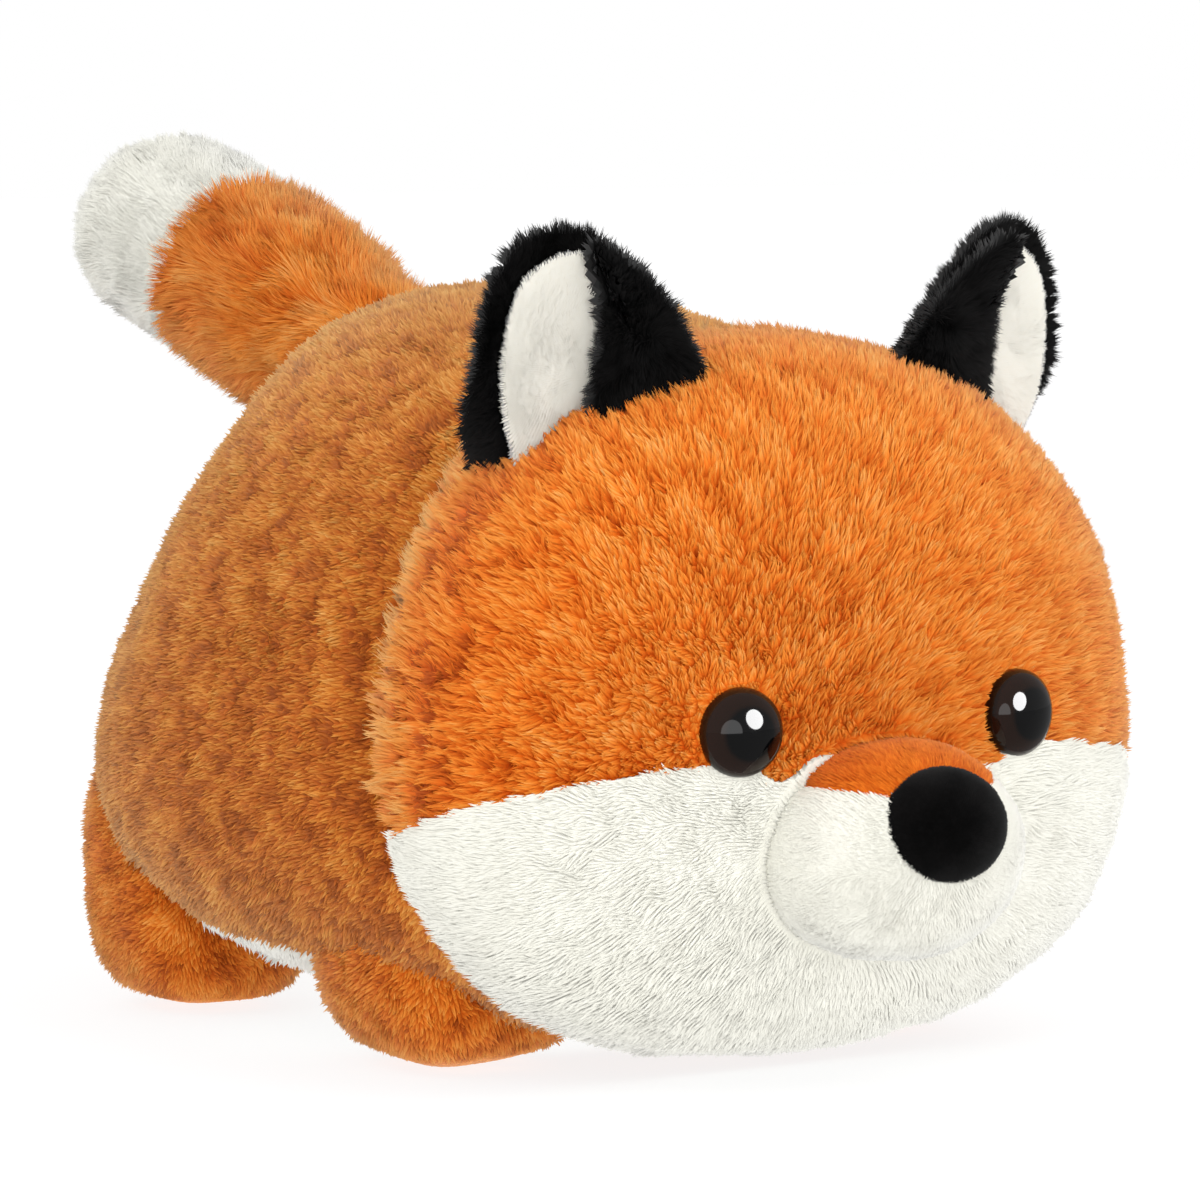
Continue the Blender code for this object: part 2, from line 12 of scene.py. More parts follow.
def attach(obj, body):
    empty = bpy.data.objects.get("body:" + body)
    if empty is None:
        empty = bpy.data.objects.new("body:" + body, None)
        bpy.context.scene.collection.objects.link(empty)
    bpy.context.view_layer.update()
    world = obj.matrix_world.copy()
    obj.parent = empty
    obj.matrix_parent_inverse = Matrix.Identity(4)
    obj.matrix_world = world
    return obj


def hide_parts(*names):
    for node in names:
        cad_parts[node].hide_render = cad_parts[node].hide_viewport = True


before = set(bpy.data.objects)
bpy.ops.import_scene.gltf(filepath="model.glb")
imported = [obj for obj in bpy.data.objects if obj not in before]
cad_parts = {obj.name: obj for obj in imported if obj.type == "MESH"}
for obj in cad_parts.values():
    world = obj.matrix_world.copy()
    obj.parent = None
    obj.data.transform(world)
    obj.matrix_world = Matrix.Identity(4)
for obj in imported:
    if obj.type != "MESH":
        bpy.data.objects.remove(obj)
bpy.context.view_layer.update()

# The camera stands low, off the fox's right front, far enough away for a long lens.
CAMERA_PLACE = Vector((-0.7889, -1.1780, 0.2069))
CAMERA_TARGET = Vector((-0.0224, -0.0652, 0.0929))
CAMERA_LENS = 203.4
CAMERA_SENSOR = 36
camera_data = bpy.data.cameras.new("camera")
camera_data.lens = CAMERA_LENS
camera_data.sensor_width = CAMERA_SENSOR
camera = bpy.data.objects.new("camera", camera_data)
bpy.context.scene.collection.objects.link(camera)
looking = (CAMERA_TARGET - CAMERA_PLACE).to_track_quat("-Z", "Y").to_matrix().to_4x4()
camera.matrix_world = Matrix.Translation(CAMERA_PLACE) @ looking
bpy.context.scene.camera = camera


# Head: an orange crown and a white face of deep pile, sewn together below the eyes and shut at the neck.
# The pile is polyester that stands off its backing in locks, golden at its tips and deep orange at its foot,
# partly its own colour and partly painted shade.
# Each lock is many thin spikes, and every spike stands on one small triangle of the backing.
class Form:
    """A stuffed shape: a ball with its own half sizes, squarer than an ellipsoid, that may narrow upwards.

    half holds half the width, the reach to the front and to the back, and half the height. A direction's
    reach is one over its length in the form's norm. Narrowing and shortening are the shares of width and
    length that are lost between the bottom and the top, and tilt turns the form about the X axis.
    """

    def __init__(self, centre, half, shares, narrowing=0.0, shortening=0.0, tilt=0.0):
        self.centre = np.array(centre)
        self.half = half
        self.cross_share, self.long_share = shares
        self.narrowing = narrowing
        self.shortening = shortening
        self.turn = np.array(Matrix.Rotation(tilt, 3, "X"))

    def norm(self, x, y, z):
        """A vector's length, with the power cross_share in the sum across and long_share in the sum along."""
        cross = abs(x) ** self.cross_share + abs(z) ** self.cross_share
        along = abs(y) ** self.long_share
        return (cross ** (self.long_share / self.cross_share) + along) ** (1 / self.long_share)

    def at(self, way):
        """Surface points where the rays of the unit ball in these directions come out."""
        x, y, z = (way / self.norm(*way.T)[:, None]).T
        length = np.where(y < 0, self.half[1], self.half[2])
        wide = x * self.half[0] * (1 - self.narrowing * z / 2)
        long = y * length * (1 - self.shortening * z / 2)
        point = np.stack((wide, long, z * self.half[3]), axis=1)
        return self.centre + point @ self.turn.T

    def depth(self, place):
        """How far places lie below the surface, about, and less than nothing outside it."""
        x, y, z = ((place - self.centre) @ self.turn).T
        z = z / self.half[3]
        x = x / (self.half[0] * (1 - self.narrowing * z / 2))
        y = y / (np.where(y < 0, self.half[1], self.half[2]) * (1 - self.shortening * z / 2))
        reach = np.linalg.norm(place - self.centre, axis=1)
        share = np.maximum(self.norm(x, y, z), 1e-3)
        return reach / share - reach


def ball(cuts):
    """Directions and triangles of a ball: an icosahedron's 20 sides, each cut into cuts x cuts triangles.

    A point of a side is i, j and k parts of its corners, i + j + k = cuts, pushed out to length 1.
    """
    golden = (1 + 5 ** 0.5) / 2
    corners = np.array([turn for a in (-1, 1) for b in (-golden, golden)
                        for turn in ((0, a, b), (a, b, 0), (b, 0, a))])
    gaps = np.linalg.norm(corners[:, None] - corners, axis=2)
    near = (gaps > 1) & (gaps < 2.1)
    sides = np.array([(a, b, c) for a in range(12) for b in range(a + 1, 12) for c in range(b + 1, 12)
                      if near[a, b] and near[b, c] and near[a, c]])
    turned_in = np.linalg.det(corners[sides]) < 0
    sides[turned_in] = sides[turned_in][:, ::-1]
    i, j = (grid.ravel() for grid in np.meshgrid(np.arange(cuts + 1), np.arange(cuts + 1), indexing="ij"))
    i, j = i[i + j <= cuts], j[i + j <= cuts]
    number = np.zeros((cuts + 2, cuts + 2), int)
    number[i, j] = np.arange(len(i))
    parts = np.stack((cuts - i - j, i, j), axis=1) / cuts
    points = np.einsum("pk,fkx->fpx", parts, corners[sides])
    cells = []
    for most, turned in ((cuts, 0), (cuts - 1, 1)):
        a, b = i[i + j < most], j[i + j < most]
        cells.append(np.stack((number[a + turned, b], number[a + 1, b + turned], number[a, b + 1]), axis=1))
    cells = (np.concatenate(cells) + np.arange(len(sides))[:, None, None] * len(i)).reshape(-1, 3)
    points = points.reshape(-1, 3)
    points /= np.linalg.norm(points, axis=1)[:, None]
    _, first, place = np.unique(np.round(points, 6), axis=0, return_index=True, return_inverse=True)
    return points[first], place.ravel()[cells]


def unit(way):
    """Each row brought to length 1."""
    return way / np.maximum(np.linalg.norm(way, axis=1), 1e-9)[:, None]


def normals_of(points, triangles):
    """The way each point faces: the sum of its triangles' cross products, brought to length 1."""
    a, b, c = (points[triangles[:, k]] for k in range(3))
    cross = np.cross(b - a, c - a)
    total = np.stack([sum(np.bincount(triangles[:, k], cross[:, axis], len(points)) for k in range(3))
                      for axis in range(3)], axis=1)
    return unit(total)


def bump(distance, width):
    """A smooth bump: e to the power of minus the square of distance over width."""
    return np.exp(-(distance / width) ** 2)


def rise_to_one(distance, width):
    """Nothing below 0, growing evenly to 1 at this width, and 1 beyond it."""
    return np.clip(distance / width, 0, 1)


WAVES = 12


def swell(place, length, seed):
    """A smooth wander between about -1 and 1: a sum of sine waves of this length in chance directions."""
    chance = np.random.default_rng(seed)
    ways = unit(chance.normal(size=(WAVES, 3))) * chance.uniform(0.7, 1.5, (WAVES, 1)) * 2 * math.pi / length
    starts = chance.uniform(0, 2 * math.pi, WAVES)
    return np.sin(place @ ways.T + starts).sum(axis=1) / 4


CUBE_NUMBERS = np.array((127.1, 311.7, 74.7))
SCRAMBLE = 43758.5453
LOCK_BORDER = 0.35


def locks(place, size, seed):
    """The lock of pile that each place belongs to: its middle, how far its border is, and its own number.

    Space is cut into cubes, each holds one middle at a chance place, and the nearest of the 27 around wins.
    A cube's chance numbers are the last digits of a large multiple of the sine of its own number.
    """
    cube = np.floor(place / size).astype(int)
    best = np.full(len(place), 9.0)
    second = best.copy()
    middle = np.zeros_like(place)
    own = np.zeros(len(place))
    for step in np.ndindex(3, 3, 3):
        near = cube + np.array(step) - 1
        key = near @ CUBE_NUMBERS + seed
        chance = np.stack([np.sin(key * share) * SCRAMBLE % 1 for share in (1.0, 1.7, 2.3)], axis=1)
        spot = (near + chance) * size
        gap = np.linalg.norm(spot - place, axis=1) / size
        closer = gap < best
        second = np.where(closer, best, np.minimum(second, gap))
        best = np.where(closer, gap, best)
        middle[closer] = spot[closer]
        own[closer] = chance[closer, 0]
    return middle, rise_to_one(second - best, LOCK_BORDER), own


class Pile:
    """How a plush's pile grows: its length, how high it stands above its backing, and the size of its locks.

    pull draws tips towards their lock's middle, lean is how far they lean with the flow, unevenness varies
    the length, and fold is the height of the cloth's own unevenness. room is how deep the backing may lie,
    pits is the spacing of the dents where pile parts, and parting is how short the pile is between two locks
    and how much painted shade darkens it there. relief is how strongly each tip is shaded, and wander is how
    much lean and tone change.
    """

    def __init__(self, length, stand, lock, pull=0.3, lean=1.0, unevenness=0.2, fold=0.0004, room=0.0042,
                 pits=0.005, parting=1.0, relief=0.25, wander=1.0):
        self.length = length
        self.stand = stand
        self.lock = lock
        self.pull = pull
        self.lean = lean
        self.unevenness = unevenness
        self.fold = fold
        self.room = room
        self.pits = pits
        self.parting = parting
        self.relief = relief
        self.wander = wander


FLOOR_GAP = 0.0002
FOLD_SIZE = 0.03
PATCH_SIZE = 0.012
DRIFT_SIZE = 0.008
PIT_WIDTH = 0.36
MAP_FOOT = 0.45
MAP_TIP = 0.55
MAP_HALF_WIDTH = 0.002


def grow(name, points, triangles, kept, middle, pile, flow, material, seed,
         short=None, sink=0.0, dented=None, paler=None):
    """A closed plush piece: its backing, with one spike on each triangle that is kept.

    The backing lies as far below the points as the pile stands. A spike's tip is its triangle's middle,
    moved out by its height and along the flow by its lean, and drawn towards the middle of its lock. The
    open edge is shut by a fan to a point inside. Each triangle has its own flow, share of the pile's length
    (short), depth of its dents (dented) and gain in tone (paler), and sink lowers each point. The map holds
    the spike's tone across and its height up, in a narrow band.
    """
    chance = np.random.default_rng(seed)
    outward = normals_of(points, triangles)
    sunk = np.minimum(pile.stand + pile.fold * swell(points, FOLD_SIZE, seed) + sink, pile.room)
    backing = points - outward * sunk[:, None]
    backing[:, 2] = np.maximum(backing[:, 2], 2 * FLOOR_GAP)
    triangles = triangles[kept]
    centre = backing[triangles].mean(axis=1)
    way = unit(outward[triangles].sum(axis=1))

    # Pile is short between locks and darker there with painted shade, and each lock and patch has its own
    # lean and tone.
    heart, inside, own = locks(centre, pile.lock, seed)
    towards = heart - centre
    towards -= way * (towards * way).sum(axis=1)[:, None]
    along = flow[kept]
    along = unit(along - way * (along * way).sum(axis=1)[:, None])
    patch = swell(centre, PATCH_SIZE, seed + 1)
    drift = swell(centre, DRIFT_SIZE, seed + 2)[:, None] * unit(np.cross(way, along))
    length = np.full(len(centre), pile.length) if short is None else pile.length * short[kept]
    length = length * (1 + pile.unevenness * (chance.uniform(-1, 1, len(centre)) + 0.5 * (own - 0.5)))
    between = pile.parting * (1 - inside) * (1 if dented is None else 0.6 + dented[kept])
    length *= 1 - 0.25 * np.minimum(between, 2.5)
    lean = pile.lean * (1 + pile.wander * (0.35 * patch + 0.5 * (own - 0.5)))
    tilt = way + along * lean[:, None] + pile.wander * (0.15 + 0.5 * pile.lean) * drift
    tilt += pile.wander * (0.08 + 0.06 * pile.lean) * chance.normal(size=centre.shape)
    tone = 0.5 + pile.wander * (0.13 * patch + 0.18 * (own - 0.5)) - 0.16 * between
    tone += 0.09 * chance.normal(size=len(centre))

    # Pile parts over a dent: its tips lean away from the middle, and it is shorter there and darker with
    # painted shade.
    if dented is not None:
        pit = centre - locks(centre, pile.pits, seed + 3)[0]
        pitted = dented[kept] * bump(np.linalg.norm(pit, axis=1), PIT_WIDTH * pile.pits)
        tilt += unit(pit - way * (pit * way).sum(axis=1)[:, None]) * pitted[:, None] * 1.2
        length *= 1 - 0.4 * pitted
        tone -= 0.48 * pitted
    # A gain in tone: the plush's own tone, and on the crown and body also painted light and shade.
    if paler is not None:
        tone += paler[kept]
    tip = centre + unit(tilt) * length[:, None] + towards * pile.pull
    tip[:, 2] = np.maximum(tip[:, 2], FLOOR_GAP)
    tone = np.clip(tone, 0.03, 0.97)

    # An edge of the backing that only one triangle has belongs to the rim, which the fan shuts.
    used, place = np.unique(triangles, return_inverse=True)
    base = place.reshape(-1, 3)
    tips = len(used) + np.arange(len(base))
    spikes = [np.stack((base[:, k], base[:, (k + 1) % 3], tips), axis=1) for k in range(3)]
    spikes = np.stack(spikes, axis=1)
    edges = np.concatenate([base[:, (k, (k + 1) % 3)] for k in range(3)])
    forward = edges[:, 0] * len(used) + edges[:, 1]
    backward = edges[:, 1] * len(used) + edges[:, 0]
    rim = edges[~np.isin(forward, backward)]
    inner = len(used) + len(base)
    fan = np.stack((rim[:, 1], rim[:, 0], np.full(len(rim), inner)), axis=1)
    faces = np.concatenate((spikes.reshape(-1, 3), fan))
    corners = np.concatenate((backing[used], tip, [middle]))

    mesh = bpy.data.meshes.new(name)
    mesh.vertices.add(len(corners))
    mesh.vertices.foreach_set("co", corners.astype(np.float32).ravel())
    mesh.loops.add(faces.size)
    mesh.loops.foreach_set("vertex_index", faces.astype(np.int32).ravel())
    mesh.polygons.add(len(faces))
    mesh.polygons.foreach_set("loop_start", np.arange(0, faces.size, 3, dtype=np.int32))
    mesh.polygons.foreach_set("use_smooth", np.ones(len(faces), bool))
    mesh.update(calc_edges=True)

    # A spike is shaded as the cloth at its foot, and a little by its own lean at its tip.
    soft = np.concatenate((outward[used], unit(way + pile.relief * unit(tilt)), way[:1]))
    mesh.normals_split_custom_set_from_vertices(soft)
    width = np.array((-MAP_HALF_WIDTH, MAP_HALF_WIDTH, 0.0))
    across = np.repeat(tone, 9).reshape(-1, 3) + width
    up = np.tile((MAP_FOOT, MAP_FOOT, MAP_TIP), (len(base) * 3, 1))
    fan_corners = np.stack((0.5 + width, (MAP_FOOT, MAP_FOOT, MAP_FOOT + 0.01)), axis=1)
    fan_map = np.tile(fan_corners, (len(fan), 1, 1))
    map_points = np.concatenate((np.stack((across, up), axis=2), fan_map)).astype(np.float32)
    for layer in ("PileMap", "OFBake"):
        mesh.uv_layers.new(name=layer).data.foreach_set("uv", map_points.ravel())
    mesh.materials.append(material)
    piece = bpy.data.objects.new(name, mesh)
    bpy.context.scene.collection.objects.link(piece)
    return piece


class Shade:
    """A value in a material's nodes: arithmetic adds Math nodes, and add makes any other node."""

    def __init__(self, tree, socket=None):
        self.tree = tree
        self.socket = socket

    def add(self, kind, settings=None, output=0, **values):
        """A node of this kind: its settings first, and then its sockets by name, or by number after at."""
        node = self.tree.nodes.new(kind)
        for name, value in (settings or {}).items():
            if name == "stops":
                ramp = node.color_ramp.elements
                while len(ramp) < len(value):
                    ramp.new(0.5)
                for element, (position, colour) in zip(ramp, value):
                    element.position = position
                    element.color = (*colour, 1)
            else:
                setattr(node, name, value)
        for name, value in values.items():
            key = int(name[2:]) if name.startswith("at") else name.replace("_", " ").title()
            socket = node.inputs[key]
            if isinstance(value, Shade):
                self.tree.links.new(value.socket, socket)
            else:
                socket.default_value = value
        return Shade(self.tree, node.outputs[output])

    def maths(self, operation, first, second=0.0):
        return self.add("ShaderNodeMath", {"operation": operation}, at0=first, at1=second)

    def __mul__(self, other):
        return self.maths("MULTIPLY", self, other)

    def __add__(self, other):
        return self.maths("ADD", self, other)

    def __sub__(self, other):
        return self.maths("SUBTRACT", self, other)

    def __rsub__(self, other):
        return self.maths("SUBTRACT", other, self)

    __rmul__ = __mul__
    __radd__ = __add__


def new_material(name, **constants):
    """A material with one Principled shader, whose constant sockets are set, and a way to add nodes to it."""
    material = bpy.data.materials.new(name)
    material.use_nodes = True
    shader = material.node_tree.nodes["Principled BSDF"]
    for socket, value in constants.items():
        shader.inputs[socket.replace("_", " ")].default_value = value
    return material, shader, Shade(material.node_tree)


def pile_material(name, roots, tips, sheen=0.25, tint=(1, 1, 1)):
    """Plush pile: one ramp of colours for its foot and one for its tips, read by tone and mixed by height. A
    foot darker than the tips is partly the plush's own colour and partly painted shade.
    """
    material, shader, make = new_material(
        name, Roughness=0.9, Sheen_Weight=sheen, Sheen_Roughness=0.5, Sheen_Tint=(*tint, 1),
        Specular_IOR_Level=0.0)
    where = make.add("ShaderNodeUVMap", {"uv_map": "PileMap"})
    split = where.add("ShaderNodeSeparateXYZ", Vector=where)
    height = Shade(split.tree, split.socket.node.outputs[1])
    height = (height - MAP_FOOT) * (1 / (MAP_TIP - MAP_FOOT))
    foot = make.add("ShaderNodeValToRGB", {"stops": roots}, at0=split)
    top = make.add("ShaderNodeValToRGB", {"stops": tips}, at0=split)
    colour = make.add("ShaderNodeMix", {"data_type": "RGBA"}, output=2, at0=height, at6=foot, at7=top)
    material.node_tree.links.new(colour.socket, shader.inputs["Base Color"])
    return material


ORANGE_PLUSH = pile_material(
    "orange_plush_pile",
    roots=((0.0, (0.28, 0.025, 0.001)), (0.3, (0.70, 0.085, 0.003)), (0.55, (0.90, 0.16, 0.007)),
           (0.95, (0.97, 0.24, 0.018))),
    tips=((0.0, (0.55, 0.085, 0.005)), (0.3, (0.92, 0.21, 0.016)), (0.55, (1.0, 0.35, 0.048)),
          (0.95, (1.0, 0.56, 0.18))), sheen=0.5, tint=(1.0, 0.80, 0.45))
WHITE_PLUSH = pile_material(
    "white_plush_pile",
    roots=((0.1, (0.97, 0.955, 0.85)), (0.9, (0.98, 0.965, 0.86))),
    tips=((0.1, (0.98, 0.965, 0.85)), (0.9, (1.0, 0.99, 0.89))), sheen=0.7)

# Cloth runs on a little past a seam, and is cut where it would lie deep under or inside its neighbour.
HEAD = Form((0, -0.0853, 0.0745), (0.0845, 0.0475, 0.034, 0.0725), (2.3, 2.4), narrowing=0.22)
HEAD_HEART = np.array((0, -0.088, 0.078))
HEAD_CUTS = 109
MUZZLE = Form((0, -0.1313, 0.0480), (0.0270, 0.0218, 0.0218, 0.0215), (2.1, 2.4))
NECK_POINT = np.array((0, -0.0823, 0.0745))
NECK_TILT = math.radians(13)
NECK_WAY = np.array((0, math.cos(NECK_TILT), -math.sin(NECK_TILT)))
NECK_OVERLAP = 0.0060
UNDER_MUZZLE = 0.004
CROWN_EDGE_RISE = 0.0038
FACE_SEAM_POINT = np.array((0, -0.0853, 0.0515))
FACE_SEAM_SLOPE = 0.33
FACE_SEAM_WAY = np.array((0, FACE_SEAM_SLOPE, 1)) / math.hypot(FACE_SEAM_SLOPE, 1)
EYE_RADIUS = 0.0087
EYE_BED = 0.02
EYE_OFFSET = 0.0338
EYE_RISE = 0.0724


def behind_neck(place):
    """How far behind the neck's plane places lie."""
    return (place - NECK_POINT) @ NECK_WAY


def above_seam(place):
    """How far above the plane of the face's seam places lie."""
    return (place - FACE_SEAM_POINT) @ FACE_SEAM_WAY


def facing(form, way):
    """The form's surface point in a direction, and the way that it faces there."""
    steps = np.array(way) + np.array(((0, 0, 0), (0.01, 0, 0), (0, 0, 0.01)))
    here, across, up = form.at(unit(steps))
    out = np.cross(up - here, across - here)
    out *= np.sign(out @ (here - form.centre))
    return here, out / np.linalg.norm(out)


def front_way(form, offset, rise):
    """The direction that leads to a place on the form's front, given how far across and how high it is."""
    up = (rise - form.centre[2]) / form.half[3]
    across = offset / (form.half[0] * (1 - form.narrowing * up / 2))
    cross = abs(across) ** form.cross_share + abs(up) ** form.cross_share
    flat = cross ** (form.long_share / form.cross_share)
    return across, -(1 - flat) ** (1 / form.long_share), up


EYES = [facing(HEAD, front_way(HEAD, side * EYE_OFFSET, EYE_RISE)) for side in (-1, 1)]


def from_eye(place):
    """Distance from the nearer eye's middle."""
    return np.min([np.linalg.norm(place - point, axis=1) for point, _ in EYES], axis=0)


def head_flow(place):
    """The pile lies away from the muzzle, leans a little over its edge, and parts round the eyes."""
    away = unit(place - np.array((0.0, -0.131, 0.052)))
    beside = np.exp(np.minimum(MUZZLE.depth(place), 0) / 0.004)[:, None]
    eye = sum(unit(place - point) * bump(np.linalg.norm(place - point, axis=1), 0.011)[:, None]
              for point, _ in EYES)
    return away * (1 - 1.3 * beside) + 0.4 * eye


def head_length(place):
    """Pile is short where it meets an eye or the muzzle, and all but gone under the eye."""
    eye = from_eye(place) - EYE_RADIUS
    eye = np.where(eye < 0, EYE_BED, np.clip(0.35 + eye / 0.006, 0, 1))
    muzzle = np.clip(0.6 - MUZZLE.depth(place) / 0.010, 0.25, 1)
    return np.minimum(eye, muzzle)


CROWN_PILE = Pile(0.0036, 0.0022, 0.0020, pull=0.6, lean=0.8, wander=0.7)
FACE_PILE = Pile(0.0031, 0.0010, 0.0021, pull=0.2, lean=2.1, relief=0.13, wander=0.65)
points, triangles = ball(HEAD_CUTS)
points = HEAD.at(points)
neck = behind_neck(points)

# The cloth dips at the neck and along the face's seam, and the crown's rear edge stands up over the body.
sink = 0.0012 * bump(neck, 0.006) + 0.0006 * bump(above_seam(points), 0.002)
sink -= CROWN_EDGE_RISE * bump(neck, 0.010) * rise_to_one(points[:, 2] - 0.110, 0.020)
middles = points[triangles].mean(axis=1)
shown = (behind_neck(middles) < NECK_OVERLAP) & (MUZZLE.depth(middles) < UNDER_MUZZLE)

# The face's seam runs lower beside the muzzle.
beside_muzzle = 0.0045 * bump(np.abs(middles[:, 0]) - 0.025, 0.006)
above = above_seam(middles) > -beside_muzzle

# The crown's pile is dented towards the neck and darker there with painted shade, and longer and paler at the
# neck itself, paler partly as the locks' own tan and partly as painted light.
flow, short = head_flow(middles), head_length(middles)
from_neck = -behind_neck(middles)
towards_neck = np.exp(-np.maximum(from_neck - 0.008, 0) / 0.014)
fringe = bump(np.maximum(from_neck, 0), 0.011)
short[above] *= 1 + 0.6 * fringe[above]
crown = grow("crown_plush", points, triangles, shown & above, HEAD_HEART, CROWN_PILE, flow, ORANGE_PLUSH, 11,
             short, sink, 0.1 + 1.8 * towards_neck, 0.50 * fringe - 0.26 * towards_neck + 0.10)
face = grow("face_plush", points, triangles, shown & ~above, HEAD_HEART, FACE_PILE, flow, WHITE_PLUSH, 12,
            short, sink)
for piece, node, slot in ((crown, "head_top_cover", "orange_plush"), (face, "face_cover", "white_plush")):
    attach(piece, "head_and_body")
    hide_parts(node)


# Body: two orange-brown sides and a white belly, sewn together, to the head at the neck and round the tail.
# Its shorter pile is crushed into small dents, and the cloth lies in upright folds behind the head.
BODY_PLUSH = pile_material(
    "body_plush_pile",
    roots=((0.0, (0.24, 0.035, 0.002)), (0.3, (0.50, 0.085, 0.005)), (0.55, (0.66, 0.15, 0.011)),
           (0.95, (0.78, 0.23, 0.025))),
    tips=((0.0, (0.40, 0.07, 0.005)), (0.3, (0.70, 0.18, 0.018)), (0.55, (0.86, 0.33, 0.045)),
          (0.95, (1.0, 0.56, 0.16))), sheen=0.6, tint=(1.0, 0.78, 0.42))
BODY = Form((0, -0.0273, 0.0785), (0.0825, 0.1150, 0.1105, 0.0735), (2.5, 2.4), narrowing=0.46,
            shortening=0.52, tilt=math.radians(3))
BODY_CUTS = 112
BODY_OVERLAP = 0.0025
UNDER_LEG = 0.004
UNDER_TAIL = 0.003
BELLY_SEAM_RISE = 0.022
FOLD_DEPTH = 0.0015
FOLD_SPACING = 0.017
SADDLE_DEPTH = 0.0024
FLANK_DEPTH = 0.0024
HUMP_HEIGHT = 0.0045
BODY_DENTS = 0.6
TAIL_PIVOT = np.array((0, 0.0551, 0.1355))
TAIL_ROOT_RADIUS = 0.0185
LEG_RISE = 0.0305
LEG_HALF_HEIGHT = 0.031
LEGS = {
    f"{end}_{flank}_leg": Form(
        (side * across, along, LEG_RISE), (radius, radius, radius, LEG_HALF_HEIGHT), (2.7, 2.7))
    for end, across, along, radius in (("front", 0.0490, -0.0533, 0.0265), ("rear", 0.0475, 0.0467, 0.0235))
    for flank, side in (("right", -1), ("left", 1))
}


def body_flow(place):
    """The pile lies back and down along the sides, and wanders in wide swirls."""
    swirl = np.stack([swell(place, 0.05, seed) for seed in (51, 52, 53)], axis=1)
    return np.array((0, 0.35, -0.65)) + 0.28 * swirl


def body_length(place):
    """Pile is a little shorter along the seams."""
    neck = np.clip(0.5 + behind_neck(place) / 0.008, 0.5, 1)
    return (1 - 0.3 * bump(place[:, 0], 0.0015)) * neck


points, triangles = ball(BODY_CUTS)
points = BODY.at(points)
neck = behind_neck(points)
along, rise = points[:, 1], points[:, 2]

# The back has a hump before the tail and a saddle behind the head, and each flank is drawn in above the rear
# leg. Upright folds run round the body behind the neck and fade towards the tail.
high = rise_to_one(rise - 0.110, 0.030) ** 2
hump = high * bump(along - 0.012, 0.024)
saddle = high * rise_to_one(-(along + 0.016), 0.014)
flank = np.exp(-((along - 0.047) / 0.030) ** 2 - ((rise - 0.092) / 0.030) ** 2)
flank *= rise_to_one(np.abs(points[:, 0]), 0.05)
folds = FOLD_DEPTH * np.cos(neck * 2 * math.pi / FOLD_SPACING) * np.exp(-np.abs(neck - 0.004) / 0.035)
folds *= np.clip(0.6 + 0.5 * swell(points, 0.05, 61), 0, 1.2)
dents = 0.0003 * swell(points, 0.011, 62)
seam = 0.0004 * bump(points[:, 0], 0.002)
sink = 0.0016 * bump(neck, 0.007) + folds + dents + seam
sink += SADDLE_DEPTH * saddle + FLANK_DEPTH * flank - HUMP_HEIGHT * hump

# The tone is paler at the neck. It is paler on the ridges of the folds and towards the back, and darker in
# their hollows: painted light and shade, as the light falls from above.
paler = 0.35 * bump(neck, 0.005) - 110 * folds + 1.5 * (rise - 0.075)
paler = paler[triangles].mean(axis=1)
middles = points[triangles].mean(axis=1)
shown = behind_neck(middles) > -BODY_OVERLAP
shown &= np.linalg.norm(middles - TAIL_PIVOT, axis=1) > TAIL_ROOT_RADIUS - UNDER_TAIL
for leg in LEGS.values():
    shown &= leg.depth(middles) < UNDER_LEG
low = (middles[:, 2] < BELLY_SEAM_RISE) & (middles[:, 1] > LEGS["front_right_leg"].centre[1])
right = middles[:, 0] < 0
BODY_PILE = Pile(0.0020, 0.0013, 0.0017, lean=0.3, unevenness=0.35, pits=0.0045, parting=1.3)
BELLY_PILE = Pile(0.0034, 0.0016, 0.0022, pull=0.2, lean=1.6)
flow, short = body_flow(middles), body_length(middles)
for name, node, region, heart, pile, look, slot, seed in (
        ("right_side_plush", "right_side_cover", shown & right & ~low, (-0.02, 0, 0.08), BODY_PILE,
         BODY_PLUSH, "body_plush", 21),
        ("left_side_plush", "left_side_cover", shown & ~right & ~low, (0.02, 0, 0.08), BODY_PILE,
         BODY_PLUSH, "body_plush", 22),
        ("belly_plush", "belly_cover", shown & low, (0, 0, 0.04), BELLY_PILE,
         WHITE_PLUSH, "white_plush", 23)):
    side = grow(name, points, triangles, region, np.array(heart), pile, flow, look, seed, short, sink,
                np.full(len(middles), BODY_DENTS), paler)
    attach(side, "head_and_body")
    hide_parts(node)


# Legs: four short stuffed stumps of the body's plush with its crushed pile, coloured a brighter orange than
# the body as painted light.
# Each is one sewn cover, closed under the body by its seam, and stands on the floor with a flat sole.
def leg_flow(place):
    """The pile on a leg hangs down and wanders a little to every side."""
    aside = [0.5 * swell(place, 0.03, seed) for seed in (54, 55)]
    return np.stack((*aside, np.full(len(place), -1.0)), axis=1)


def leg_length(place):
    """Hardly any pile under the sole."""
    return np.clip((place[:, 2] - 0.001) / 0.004, 0.05, 1)
